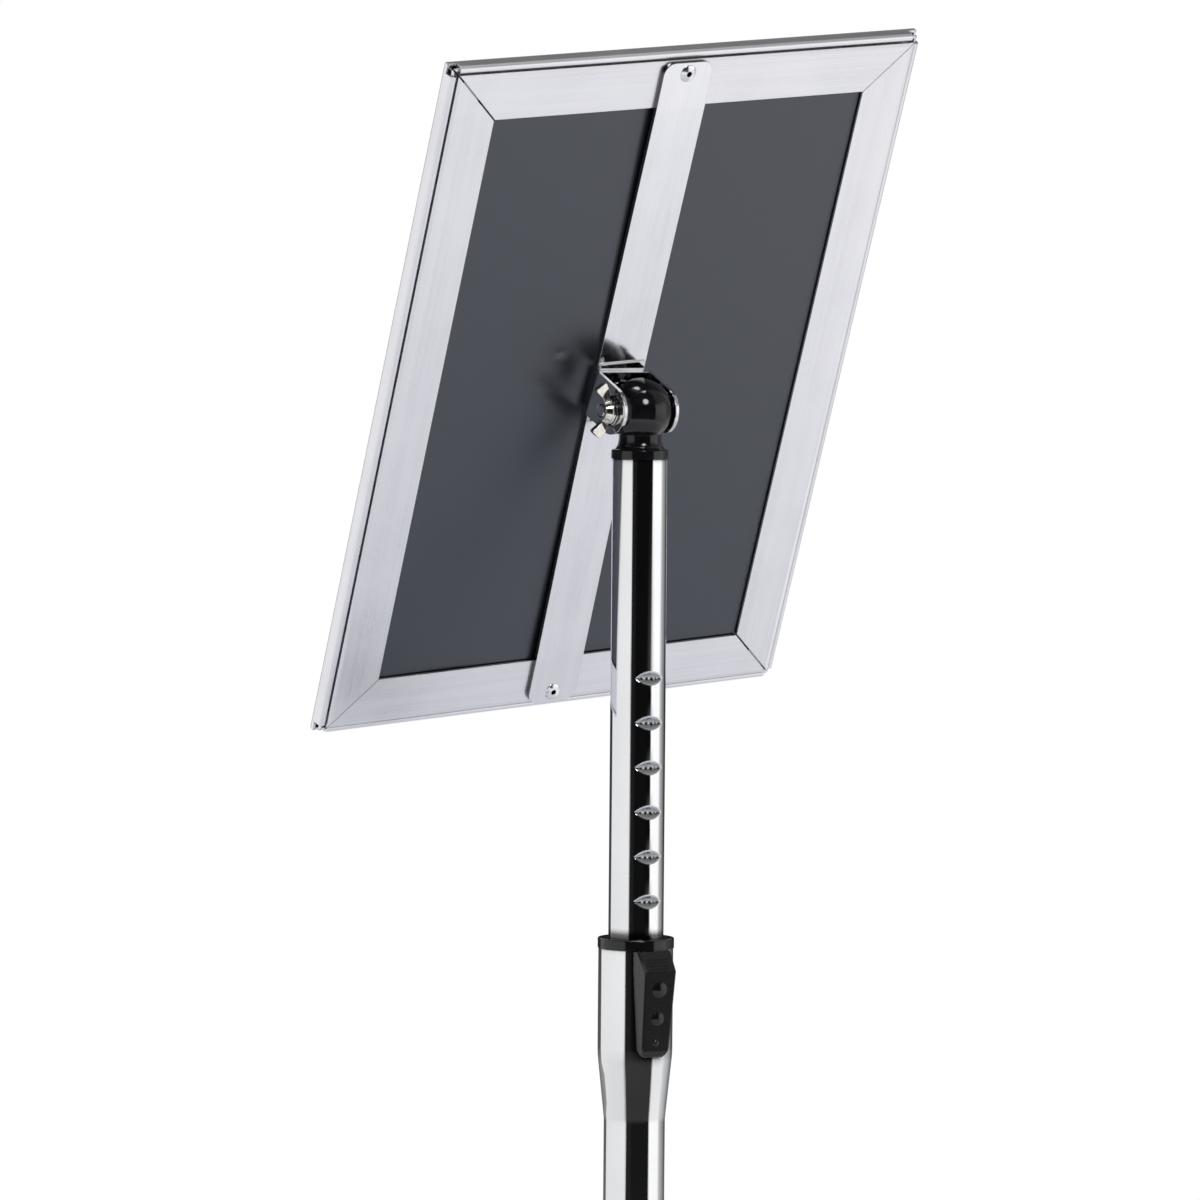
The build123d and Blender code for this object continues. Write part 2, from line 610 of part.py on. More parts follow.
def swivel_rivet():
    """Large hollow rivet that joins the bracket to the strap, with rolled rims."""
    rim_start = WEB_INNER_DISTANCE - SWIVEL_RIM_HEIGHT
    far_end = strap_back_distance - 0.15
    far_start = far_end - COUNTERBORE_DEPTH + 0.35
    barrel = tube(SWIVEL_RADIUS, SWIVEL_BORE, rim_start, far_end)
    rim = tube(SWIVEL_RIM_RADIUS, SWIVEL_BORE, rim_start, WEB_INNER_DISTANCE)
    rim = fillet(rim.edges().filter_by(GeomType.CIRCLE).sort_by(Axis.Z)[:2], 0.4)
    flange = tube(SWIVEL_RIM_RADIUS - 0.2, SWIVEL_BORE, far_start, far_end)
    return at_hinge * Pos(bracket_middle, 0, 0) * Rot(90, 0, 0) * (barrel + rim + flange)


def friction_plate():
    """Thin plated plate on the strap that the bracket's web turns against."""
    near = -plate_distance
    far = -strap_distance
    half_width = FRICTION_PLATE_WIDTH / 2
    half_height = FRICTION_PLATE_HEIGHT / 2
    plate = block((-half_width, far, -half_height), (half_width, near, half_height))
    hole = Rot(90, 0, 0) * Cylinder(SWIVEL_RADIUS + RUNNING_GAP, 4 * strap_distance)
    return at_sign * (plate - hole)


def strap():
    """Flat bar down the back of the frame, dished towards the panel in its middle."""
    seat = -frame_distance
    dish = -strap_back_distance
    top = FRAME_RISE + strap_half
    bottom = FRAME_RISE - strap_half
    flat = frame_height / 2 - FLAT_END - 1
    middle = STRAP_MIDDLE_HALF
    inner = [(seat, top), (seat, FRAME_RISE + flat), (dish, middle), (dish, -middle),
             (seat, FRAME_RISE - flat), (seat, bottom)]
    outer = [(y + STRAP_THICKNESS, z) for y, z in reversed(inner)]
    bar = extrude(Plane.YZ * Polygon(*inner, *outer, align=None), STRAP_WIDTH / 2, both=True)
    rounding = Pos(0, FRAME_RISE) * RectangleRounded(STRAP_WIDTH, 2 * strap_half, STRAP_CORNER_RADIUS)
    bar = bar & extrude(Plane.XZ * rounding, 2 * strap_back_distance)
    swivel = Rot(90, 0, 0) * Cylinder(SWIVEL_RADIUS + RUNNING_GAP, 4 * strap_distance)
    counterbore = Rot(90, 0, 0) * rod(SWIVEL_RIM_RADIUS, strap_back_distance - COUNTERBORE_DEPTH,
                                      strap_back_distance + 1)
    return at_sign * (bar - swivel - counterbore - rivet_holes(RUNNING_GAP))


def rivet_holes(gap):
    """Both strap rivet holes, as the bars that cut them."""
    radius = RIVET_SHANK_RADIUS + gap
    height = frame_height / 2 - RIVET_FROM_EDGE
    bar = Pos(0, 0, FRAME_RISE) * Rot(90, 0, 0) * rod(radius, 0, frame_distance + FRAME_WALL + 1)
    return Pos(0, 0, height) * bar + Pos(0, 0, -height) * bar


def strap_rivets():
    """Two hollow blind rivets, head outside and swelled tail inside the frame."""
    near = frame_distance - STRAP_THICKNESS
    far = frame_distance + FRAME_WALL
    cap = (RIVET_HEAD_RADIUS ** 2 + RIVET_HEAD_HEIGHT ** 2) / (2 * RIVET_HEAD_HEIGHT)
    head = Pos(0, 0, near - RIVET_HEAD_HEIGHT + cap) * Sphere(cap)
    head = head & rod(cap, near - RIVET_HEAD_HEIGHT - 1, near)
    shank = rod(RIVET_SHANK_RADIUS, near - 0.1, far + RIVET_TAIL_HEIGHT)
    tail = rod(RIVET_TAIL_RADIUS, far, far + RIVET_TAIL_HEIGHT)
    tail = fillet(tail.edges().filter_by(GeomType.CIRCLE), 0.6)
    bore = rod(RIVET_BORE_RADIUS, near - RIVET_HEAD_HEIGHT - 1, far + RIVET_TAIL_HEIGHT - 0.5)
    rivet = Rot(90, 0, 0) * (head + shank + tail - bore)
    height = frame_height / 2 - RIVET_FROM_EDGE
    return [at_sign * Pos(0, 0, FRAME_RISE + z) * rivet for z in (height, -height)]


def bar_from_section(section, length, edge):
    """Extrude a section, drawn as (inward, forward), along the top edge of a frame."""
    plane = Plane(origin=(0, -frame_distance, edge), x_dir=(0, 0, -1), z_dir=(-1, 0, 0))
    return extrude(plane * section, length / 2, both=True)


def mitred(bar, length, edge, plus_gap, minus_gap):
    """Trim both ends of a bar at 45 degrees, each with its own gap."""
    deep = MITRE_CUT_DEPTH
    half = length / 2
    outline = Polygon(
        (half + 1 - plus_gap, edge + 1), (half - deep - plus_gap, edge - deep),
        (-half + deep + minus_gap, edge - deep), (-half - 1 + minus_gap, edge + 1), align=None)
    return bar & extrude(Plane.XZ * outline, 2 * frame_distance, both=True)


def base_section():
    """Section of a base profile: back flat with its sloped rim, seat, stop wall and bead on its arm."""
    seat_end = stop_wall_end + PANEL_SEAT_WIDTH
    bead_wall_end = BEAD_WALL_START + BEAD_WALL_THICKNESS
    angle = math.radians(BEAD_ARM_ANGLE)
    knee_setback = BEAD_SETBACK + BEAD_ARM_LENGTH * math.cos(angle)
    knee = (knee_setback, BEAD_DEPTH + BEAD_ARM_LENGTH * math.sin(angle))
    wall_top = knee[1] + BEAD_ARM / 2
    flat = Polygon(
        (FLAT_START, FLAT_RIM_DROP), (FLAT_START + FLAT_RIM_WIDTH, 0), (FLAT_END, 0),
        (FLAT_END, FRAME_WALL), (seat_end, FRAME_WALL),
        (seat_end, panel_depth), (stop_wall_end, panel_depth), (stop_wall_end, STOP_WALL_TOP),
        (STOP_WALL_START, STOP_WALL_TOP), (STOP_WALL_START, FRAME_WALL), (bead_wall_end, FRAME_WALL),
        (bead_wall_end, wall_top), (knee[0], wall_top), (knee[0], wall_top - BEAD_ARM),
        (BEAD_WALL_START, wall_top - BEAD_ARM), (BEAD_WALL_START, FRAME_WALL),
        (FLAT_START, FRAME_WALL), align=None)
    slope_middle = ((BEAD_SETBACK + knee[0]) / 2, (BEAD_DEPTH + knee[1]) / 2)
    slope = Pos(*slope_middle) * Rot(0, 0, BEAD_ARM_ANGLE) * Rectangle(BEAD_ARM_LENGTH, BEAD_ARM)
    bend = Pos(*knee) * Circle(BEAD_ARM / 2)
    return flat + bend + slope + Pos(BEAD_SETBACK, BEAD_DEPTH) * Circle(BEAD_RADIUS)


def rail_section():
    """Section of a snap rail: claw round the bead, outer wall, front face and lip."""
    claw_bore = BEAD_RADIUS + RUNNING_GAP
    centre = Pos(BEAD_SETBACK, BEAD_DEPTH)
    ring = centre * (Circle(CLAW_RADIUS) - Circle(claw_bore))
    reach = 4 * CLAW_RADIUS
    first = math.radians(CLAW_START_ANGLE)
    last = math.radians(CLAW_END_ANGLE)
    middle = (first + last) / 2
    wedge = Polygon(
        (0, 0), (reach * math.cos(first), reach * math.sin(first)),
        (reach * math.cos((first + middle) / 2), reach * math.sin((first + middle) / 2)),
        (reach * math.cos(middle), reach * math.sin(middle)),
        (reach * math.cos((last + middle) / 2), reach * math.sin((last + middle) / 2)),
        (reach * math.cos(last), reach * math.sin(last)), align=None)
    claw = ring & centre * wedge

    claw_side = BEAD_SETBACK - CLAW_RADIUS
    shoulder = RAIL_SHOULDER_RADIUS
    front_outer = (shoulder, RAIL_DEPTH)
    front_inner = (RAIL_WIDTH - RAIL_INNER_RADIUS, RAIL_DEPTH - RAIL_SLOPE)
    lip_top = (RAIL_WIDTH, RAIL_DEPTH - RAIL_SLOPE - RAIL_INNER_RADIUS)
    lip_inner = RAIL_WIDTH - RAIL_WALL
    under_depth = RAIL_DEPTH - RAIL_WALL
    bend = math.sqrt(0.5)
    shoulder_mid = (shoulder * (1 - bend), RAIL_DEPTH - shoulder * (1 - bend))
    inner_mid = (front_inner[0] + RAIL_INNER_RADIUS * bend, lip_top[1] + RAIL_INNER_RADIUS * bend)
    inner_chamfer = RAIL_INNER_RADIUS - 0.6
    under_inner = (lip_inner - inner_chamfer, under_depth - RAIL_SLOPE)
    wall_low = (claw_side, BEAD_DEPTH)
    wall_out = (0, BEAD_DEPTH + 2.0)
    wall_top = (0, RAIL_DEPTH - shoulder)
    edges = [
        Line(wall_low, wall_out), Line(wall_out, wall_top),
        ThreePointArc(wall_top, shoulder_mid, front_outer), Line(front_outer, front_inner),
        ThreePointArc(front_inner, inner_mid, lip_top), Line(lip_top, (RAIL_WIDTH, rail_lip_depth)),
        Line((RAIL_WIDTH, rail_lip_depth), (lip_inner, rail_lip_depth)),
        Line((lip_inner, rail_lip_depth), (lip_inner, under_inner[1] - inner_chamfer)),
        Line((lip_inner, under_inner[1] - inner_chamfer), under_inner),
        Line(under_inner, (2.4, under_depth)),
        Line((2.4, under_depth), (RAIL_WALL, under_depth - 1.2)),
        Line((RAIL_WALL, under_depth - 1.2), (RAIL_WALL, BEAD_DEPTH)),
        Line((RAIL_WALL, BEAD_DEPTH), wall_low),
    ]
    shell = make_face(edges) - centre * Circle(claw_bore)
    return claw + shell


def frame_sides():
    """The four sides of the frame: name, turn about Y, length, edge distance and mitre gaps."""
    half_width = frame_width / 2
    half_height = frame_height / 2
    loose = OPEN_MITRE_GAP
    tight = TIGHT_MITRE_GAP
    return [
        ("top", 0, frame_width, half_height, loose, tight),
        ("right", 90, frame_height, half_width, tight, loose),
        ("bottom", 180, frame_width, half_height, loose, tight),
        ("left", 270, frame_height, half_width, tight, loose),
    ]


def base_profile(turn, length, edge, plus_gap, minus_gap):
    """One mitred side of the frame's base."""
    bar = bar_from_section(base_section(), length, edge)
    bar = mitred(bar, length, edge, plus_gap, minus_gap)
    holes = Pos(-FRAME_SIDE_SHIFT, 0, -FRAME_RISE) * rivet_holes(RUNNING_GAP)
    return at_frame * (Rot(0, turn, 0) * bar - holes)


def snap_rail(turn, length, edge):
    """One mitred snap rail, with its claw cut back square at both ends."""
    bar = bar_from_section(rail_section(), length, edge)
    bar = mitred(bar, length, edge, RAIL_MITRE_GAP, RAIL_MITRE_GAP)
    half = length / 2
    back = -frame_distance + 1
    front = -frame_distance - claw_clear_depth
    low = edge - CLAW_END_SETBACK
    for side in (-1, 1):
        start = min(side * (half - CLAW_END_SETBACK), side * (half + 1))
        end = max(side * (half - CLAW_END_SETBACK), side * (half + 1))
        bar = bar - block((start, front, low), (end, back, edge + 1))
    return at_frame * Rot(0, turn, 0) * bar


def sheet(width, height, depth, thickness):
    """Flat sheet held in the frame, at a depth from the back flat."""
    near = -frame_distance - depth
    return at_frame * block((-width / 2, near - thickness, -height / 2), (width / 2, near, height / 2))


def corner_brackets():
    """Four flat angle brackets inside the mitred corners."""
    channel_start = BEAD_WALL_START + 1.6
    near = -frame_distance - FRAME_WALL
    far = near - CORNER_THICKNESS
    pieces = []
    for side in (-1, 1):
        for level in (-1, 1):
            x = frame_width / 2 - channel_start
            z = frame_height / 2 - channel_start
            long_arm = block((x - CORNER_ARM_LENGTH, far, z - CORNER_ARM_WIDTH), (x, near, z))
            short_arm = block((x - CORNER_ARM_WIDTH, far, z - CORNER_ARM_LENGTH), (x, near, z))
            angle = long_arm + short_arm
            if side < 0:
                angle = mirror(angle, Plane.YZ)
            if level < 0:
                angle = mirror(angle, Plane.XY)
            pieces.append(at_frame * angle)
    return pieces


def leaf_springs():
    """Two bent spring leaves under each snap rail."""
    start = BEAD_WALL_START + 1.3
    floor = FRAME_WALL
    top = leaf_top
    inside = start + LEAF_THICKNESS
    end = start + LEAF_REACH
    tip = top - LEAF_DROOP
    outline = Polygon(
        (start, floor), (end, floor), (end, floor + LEAF_THICKNESS), (inside, floor + LEAF_THICKNESS),
        (inside, top - LEAF_THICKNESS), (end, tip - LEAF_THICKNESS), (end, tip), (start, top), align=None)
    pieces = []
    for name, turn, length, edge, plus_gap, minus_gap in frame_sides():
        leaf = bar_from_section(outline, LEAF_LENGTH, edge)
        for side in (-1, 1):
            pieces.append(at_frame * Rot(0, turn, 0) * Pos(side * length / 4, 0, 0) * leaf)
    return pieces


def all_nodes():
    """Every named piece of the stand."""
    nodes = {
        "base_plate": base_plate(),
        "base_feet": base_feet(),
        "base_bolt": base_bolt(),
        "tube_plug": tube_plug(),
        "base_rosette": base_rosette(),
        "outer_tube": outer_tube(),
        "guide_sleeve": guide_sleeve(),
        "latch_base": latch_base(),
        "latch_spring": latch_spring(),
        "latch_slider": latch_slider(),
        "locking_roller": locking_roller(),
        "upper_tube": upper_tube(),
        "lower_bush": lower_bush(),
        "ball_head": ball_head(),
        "clevis_bracket": clevis_bracket(),
        "clevis_bolt": clevis_bolt(),
        "clamp_washer": clamp_washer(),
        "wing_nut": wing_nut(),
        "swivel_rivet": swivel_rivet(),
        "friction_plate": friction_plate(),
        "strap": strap(),
        "strap_rivets": strap_rivets(),
        "corner_brackets": corner_brackets(),
        "leaf_springs": leaf_springs(),
    }
    for name, turn, length, edge, plus_gap, minus_gap in frame_sides():
        nodes["frame_" + name] = base_profile(turn, length, edge, plus_gap, minus_gap)
        nodes["rail_" + name] = snap_rail(turn, length, edge)
    margin = 2 * SHEET_MARGIN
    width = SHEET_WIDTH + margin
    height = SHEET_HEIGHT + margin
    nodes["back_panel"] = sheet(width, height, panel_depth, PANEL_THICKNESS)
    nodes["insert_sheet"] = sheet(SHEET_WIDTH, SHEET_HEIGHT, insert_depth, INSERT_THICKNESS)
    nodes["clear_cover"] = sheet(width, height, cover_depth, COVER_THICKNESS)
    return nodes


def write_nodes():
    """Write one STEP file per node."""
    os.makedirs("parts", exist_ok=True)
    for name, shape in all_nodes().items():
        solids = shape if isinstance(shape, list) else [shape]
        bodies = [solid for piece in solids for solid in piece.solids()]
        export_step(Compound(children=bodies), "parts/" + name + ".step")


write_nodes()
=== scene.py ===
import json
import math

import bpy
from mathutils import Matrix, Vector, noise as random_noise


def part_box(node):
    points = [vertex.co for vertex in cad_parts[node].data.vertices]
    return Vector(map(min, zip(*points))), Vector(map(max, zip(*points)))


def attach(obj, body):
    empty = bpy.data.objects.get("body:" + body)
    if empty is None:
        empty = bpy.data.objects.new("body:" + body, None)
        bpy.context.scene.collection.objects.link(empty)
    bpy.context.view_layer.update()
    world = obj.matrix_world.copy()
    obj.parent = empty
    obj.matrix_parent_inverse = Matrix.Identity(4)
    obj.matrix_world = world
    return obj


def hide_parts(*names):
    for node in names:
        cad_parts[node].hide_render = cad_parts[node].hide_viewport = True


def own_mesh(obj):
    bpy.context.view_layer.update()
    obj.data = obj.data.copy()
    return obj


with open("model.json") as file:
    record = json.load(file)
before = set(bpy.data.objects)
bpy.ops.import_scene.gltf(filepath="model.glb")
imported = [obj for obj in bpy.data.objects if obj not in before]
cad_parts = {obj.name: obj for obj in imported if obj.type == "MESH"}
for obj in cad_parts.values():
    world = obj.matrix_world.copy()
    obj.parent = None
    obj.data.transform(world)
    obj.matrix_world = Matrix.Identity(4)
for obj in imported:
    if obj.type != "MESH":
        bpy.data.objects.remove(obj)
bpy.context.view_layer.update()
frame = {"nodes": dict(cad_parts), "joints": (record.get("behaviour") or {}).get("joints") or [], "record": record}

# Lengths are in metres and angles in degrees. The stand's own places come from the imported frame.
JOINTS = {joint["name"]: joint for joint in frame["joints"]}
SLOTS = {subpart["node"]: subpart["material_slot"] for subpart in frame["record"]["subparts"]}
HINGE = Vector(JOINTS["tilt_hinge"]["pos_m"])
UP = Vector((0, 0, 1))

# The photograph's camera, from the corners of the frame and the sides of the pole.
# The sensor's width is in millimetres, and the focal length and the hinge's place are in pixels.
IMAGE_SIZE = 1200
SENSOR_WIDTH = 36.0
CAMERA_AZIMUTH = 144.84
CAMERA_ELEVATION = 3.13
CAMERA_ROLL = 0.48
CAMERA_REACH = 60.0
HINGE_DEPTH = 3.314
FOCAL_PIXELS = 7352.0
HINGE_PIXEL = (640.44, 410.29)

# Upper tube and its pressed notches
TUBE_WALL = 0.001
TOP_NOTCH_BELOW_HINGE = 0.1204
NOTCH_PITCH = 0.0202
NOTCH_COUNT = 20
NOTCH_DEPTH = 0.0019
NOTCH_HALF_WIDTH = 0.0072
NOTCH_HALF_HEIGHT = 0.0033
NOTCH_ROUNDING = 1.5
NOTCH_WRINKLE = 0.00012
NOTCH_WRINKLE_SCALE = 700.0
NOTCH_ROWS = 24
NOTCH_ARC = 40.0
FINE_COLUMNS = 40
COARSE_COLUMNS = 44

# Return spring of the thumb latch
SPRING_WIRE_RADIUS = 0.00022
SPRING_TURNS = 9
SPRING_STEPS = 20
SPRING_WIRE_SIDES = 10

# Air between the insert and its cover
COVER_GAP = 0.0001

# Edges sharper than this angle stay sharp on a smooth mesh
SHARP_ANGLE = 35.0

# Floor and lights
FLOOR_RADIUS = 2.0
FLOOR_FADE_START = 0.8
FLOOR_SIDES = 96
FLOOR_COLOUR = (0.80, 0.815, 0.87, 1)
WHITE = (1, 1, 1, 1)
TOP_LIGHT_SIZE = (1.5, 0.9)
TOP_LIGHT_DISTANCE = 3.0
TOP_LIGHT_TURN = -2.0
TOP_LIGHT_ELEVATION = 78.0
TOP_LIGHT_POWER = 55.0
KEY_LIGHT_DIAMETER = 0.8
KEY_LIGHT_DISTANCE = 2.5
KEY_LIGHT_TURN = 20.6
KEY_LIGHT_ELEVATION = 31.8
KEY_LIGHT_POWER = 20.0

# Light round the pole, as pairs of angle and level. The camera is at 0 and the picture's right at 90.
HORIZON_LEVELS = (
    (-180, 0.02), (-134, 0.02),  # dark behind the stand
    (-131, 0.86), (-34, 0.92),  # bright wall on the left
    (-31, 0.012), (-14, 0.012), (-12, 0.004), (55, 0.004),  # black card on both sides of the camera
    (58, 1.15), (99, 1.1),  # brightest wall, on the right
    (109, 0.52), (121, 0.32), (134, 0.19), (141, 0.12),  # its end, falling off towards the back
    (143, 0.02), (180, 0.02),  # dark behind the stand
)
MIDDLE_LEVELS = (
    (-180, 0.85), (-120, 0.9), (-80, 0.9),  # bright at the back and on the left
    (-60, 0.03), (55, 0.03),  # black card
    (70, 0.35), (120, 0.35), (140, 0.6), (180, 0.85),  # grey on the right, brighter to the back
)
UPPER_LEVELS = (
    (-180, 0.08), (-140, 0.08),  # dark behind the stand
    (-120, 0.9), (-80, 0.9),  # bright on the left
    (-60, 0.03), (55, 0.03),  # black card
    (70, 0.35), (120, 0.35),  # grey on the right
    (140, 0.08), (180, 0.08),  # dark behind the stand
)
LOWER_LEVELS = (
    (-180, 0.75), (-40, 0.75),  # pale at the back and on the left
    (-31, 0.045), (55, 0.045),  # dark towards the camera
    (62, 0.8), (180, 0.75),  # pale on the right and at the back
)

# Heights where each of the other rings of light takes over, as the sine of the angle above the horizon
RINGS_OVER_HORIZON = (
    (MIDDLE_LEVELS, 0.2, 0.42),
    (UPPER_LEVELS, 0.5, 0.62),
    (LOWER_LEVELS, -0.04, -0.42),
)

# Axes of the sign, in the order of the columns of sign_axes
ACROSS, THROUGH, UPWARDS = range(3)

# Rays that each point of a rounded edge and of a crevice is shaded with
BEVEL_SAMPLES = 3
CREVICE_SAMPLES = 4

# Part of its 0 to 1 range in which a noise goes from its dark to its light colour
NOISE_DARK = 0.3
NOISE_LIGHT = 0.7

# Scale of the noise that draws lines on chrome and streaks and bands on brushed aluminium.
# It is small along the lines and large across them.
CHROME_LINE_SCALE = (900, 900, 12)
STREAK_SCALE_ACROSS = 2600.0
STREAK_SCALE_ALONG = 9.0
BAND_SCALE_ACROSS = 150.0
BAND_SCALE_ALONG = 4.0

# Shares of streaks, bands and clouds in the tint of brushed aluminium
STREAK_SHARE = 0.35
BAND_SHARE = 0.35
CLOUD_SHARE = 0.3

# Tint of brushed aluminium over their mix
BRUSHED_TINTS = (
    (0.34, (0.84, 0.84, 0.88)),
    (0.5, (0.92, 0.92, 0.955)),
    (0.66, (0.97, 0.97, 1.0)),
)


def level_directions():
    """Level directions from the pole towards the camera and towards the picture's right."""
    azimuth = math.radians(CAMERA_AZIMUTH)
    towards = Vector((math.sin(azimuth), -math.cos(azimuth), 0))
    right = UP.cross(towards)
    return towards, right


def studio_direction(turn, elevation):
    """Direction at an angle round the pole, from the camera's side to the right, and a height."""
    towards, right = level_directions()
    turn = math.radians(turn)
    elevation = math.radians(elevation)
    level = math.cos(turn) * towards + math.sin(turn) * right
    return math.cos(elevation) * level + math.sin(elevation) * UP


def sign_axes():
    """Rotation from the sign's own frame to the stand's: X along its top edge, Z up its back."""
    across = -Vector(JOINTS["rail_top_hinge"]["axis"]).normalized()
    inward = Vector(JOINTS["sign_turn"]["axis"]).normalized()
    return Matrix((across, inward, across.cross(inward))).transposed()


def make_camera():
    """Camera at the photograph's place and angle, with the hinge at its pixel."""
    forward = -studio_direction(0, CAMERA_ELEVATION)
    right = forward.cross(UP).normalized()
    up = right.cross(forward)
    roll = math.radians(CAMERA_ROLL)
    right, up = (math.cos(roll) * right + math.sin(roll) * up,
                 math.cos(roll) * up - math.sin(roll) * right)
    across = (HINGE_PIXEL[0] - IMAGE_SIZE / 2) / FOCAL_PIXELS
    down = (HINGE_PIXEL[1] - IMAGE_SIZE / 2) / FOCAL_PIXELS
    place = HINGE - HINGE_DEPTH * (forward + across * right - down * up)
    data = bpy.data.cameras.new("camera")
    data.sensor_width = SENSOR_WIDTH
    data.lens = FOCAL_PIXELS * SENSOR_WIDTH / IMAGE_SIZE
    data.clip_end = CAMERA_REACH
    camera = bpy.data.objects.new("camera", data)
    axes = Matrix((right, up, -forward)).transposed().to_4x4()
    camera.matrix_world = Matrix.Translation(place) @ axes
    bpy.context.scene.collection.objects.link(camera)
    bpy.context.scene.camera = camera


class Tree:
    """Short calls for building a node tree."""

    def __init__(self, tree):
        self.tree = tree

    def link(self, value, socket):
        """A link from a value to a node's input socket."""
        self.tree.links.new(value, socket)

    def add(self, kind, inputs=None, **settings):
        """A new node, with its settings, and its inputs set or linked by name or number."""
        made = self.tree.nodes.new(kind)
        for name, value in settings.items():
            setattr(made, name, value)
        for key, value in (inputs or {}).items():
            if isinstance(value, bpy.types.NodeSocket):
                self.link(value, made.inputs[key])
            else:
                made.inputs[key].default_value = value
        return made

    def math(self, operation, *values):
        """The value of a Math node."""
        return self.add("ShaderNodeMath", dict(enumerate(values)), operation=operation).outputs[0]

    def dot(self, vector, direction):
        """The length of a vector along a fixed direction."""
        inputs = {0: vector, 1: tuple(direction)}
        return self.add("ShaderNodeVectorMath", inputs, operation="DOT_PRODUCT").outputs["Value"]

    def ramp(self, factor, stops):
        """A colour ramp over (place, grey level) or (place, colour) stops."""
        made = self.add("ShaderNodeValToRGB", {0: factor})
        elements = made.color_ramp.elements
        while len(elements) < len(stops):
            elements.new(1.0)
        for element, (place, colour) in zip(elements, stops):
            element.position = place
            if not isinstance(colour, tuple):
                colour = (colour, colour, colour)
            element.color = (*colour, 1)
        return made.outputs["Color"]

    def blend(self, factor, first, second):
        """A mix of two colours, which a Mix node takes as inputs 6 and 7 and gives as output 2."""
        inputs = {0: factor, 6: first, 7: second}
        return self.add("ShaderNodeMix", inputs, data_type="RGBA").outputs[2]

    def multiplied(self, first, second):
        """The product of two colours."""
        inputs = {0: 1.0, 6: first, 7: second}
        return self.add("ShaderNodeMix", inputs, data_type="RGBA", blend_type="MULTIPLY").outputs[2]

    def step(self, value, start, end):
        """0 before start, 1 after end, smooth between. Start may be the larger one."""
        inputs = {0: value, 1: start, 2: end}
        return self.add("ShaderNodeMapRange", inputs, interpolation_type="SMOOTHSTEP").outputs[0]

    def scaled(self, value, low, high):
        """A 0 to 1 value spread from low to high."""
        return self.add("ShaderNodeMapRange", {0: value, 3: low, 4: high}).outputs[0]


def round_the_studio(levels):
    """Ramp stops for light levels given at angles round the pole."""
    return [((angle + 180) / 360, level) for angle, level in levels]


def make_world():
    """White studio, with the dark cards that give chrome its black bands."""
    world = bpy.data.worlds.new("studio")
    bpy.context.scene.world = world
    world.use_nodes = True
    tree = Tree(world.node_tree)
    world.node_tree.nodes.clear()
    direction = tree.add("ShaderNodeTexCoord").outputs["Generated"]
    towards, right = level_directions()
    turn = tree.math("ARCTAN2", tree.dot(direction, right), tree.dot(direction, towards))
    place = tree.add("ShaderNodeMapRange", {0: turn, 1: -math.pi, 2: math.pi}).outputs[0]
    height = tree.dot(direction, UP)
    light = tree.ramp(place, round_the_studio(HORIZON_LEVELS))
    for levels, start, end in RINGS_OVER_HORIZON:
        ring = tree.ramp(place, round_the_studio(levels))
        light = tree.blend(tree.step(height, start, end), light, ring)
    studio = tree.add("ShaderNodeBackground", {"Color": light})
    backdrop = tree.add("ShaderNodeBackground", {"Color": WHITE})
    seen = tree.add("ShaderNodeLightPath").outputs["Is Camera Ray"]
    mix = tree.add("ShaderNodeMixShader", {0: seen, 1: studio.outputs[0], 2: backdrop.outputs[0]})
    tree.add("ShaderNodeOutputWorld", {0: mix.outputs[0]})


def make_light(name, shape, size, power, turn, elevation, distance):
    """Area light at a direction from the hinge, aimed at it and unseen by the camera."""
    data = bpy.data.lights.new(name, "AREA")
    data.shape = shape
    data.size, data.size_y = size
    data.energy = power
    light = bpy.data.objects.new(name, data)
    direction = studio_direction(turn, elevation)
    light.location = HINGE + distance * direction
    light.rotation_euler = direction.to_track_quat("Z", "Y").to_euler()
    light.visible_camera = False
    bpy.context.scene.collection.objects.link(light)


def make_lights():
    """Softbox overhead and a round key light beside the camera."""
    make_light("top_light", "RECTANGLE", TOP_LIGHT_SIZE, TOP_LIGHT_POWER,
               TOP_LIGHT_TURN, TOP_LIGHT_ELEVATION, TOP_LIGHT_DISTANCE)
    make_light("key_light", "DISK", (KEY_LIGHT_DIAMETER, KEY_LIGHT_DIAMETER), KEY_LIGHT_POWER,
               KEY_LIGHT_TURN, KEY_LIGHT_ELEVATION, KEY_LIGHT_DISTANCE)


def make_floor():
    """Pale round floor that fades into the white backdrop."""
    mesh = bpy.data.meshes.new("floor")
    corners = []
    for index in range(FLOOR_SIDES):
        angle = 2 * math.pi * index / FLOOR_SIDES
        corners.append((FLOOR_RADIUS * math.cos(angle), FLOOR_RADIUS * math.sin(angle), 0))
    mesh.from_pydata(corners, [], [list(range(FLOOR_SIDES))])
    floor = bpy.data.objects.new("floor", mesh)
    bpy.context.scene.collection.objects.link(floor)
    material = bpy.data.materials.new("floor")
    material.use_nodes = True
    material.node_tree.nodes.clear()
    tree = Tree(material.node_tree)
    place = tree.add("ShaderNodeTexCoord").outputs["Object"]
    reach = tree.add("ShaderNodeVectorMath", {0: place}, operation="LENGTH").outputs["Value"]
    fade = tree.step(reach, FLOOR_FADE_START, FLOOR_RADIUS)
    matt = tree.add("ShaderNodeBsdfDiffuse", {"Color": FLOOR_COLOUR})
    white = tree.add("ShaderNodeEmission", {"Color": WHITE})
    mix = tree.add("ShaderNodeMixShader", {0: fade, 1: matt.outputs[0], 2: white.outputs[0]})
    tree.add("ShaderNodeOutputMaterial", {0: mix.outputs[0]})
    mesh.materials.append(material)


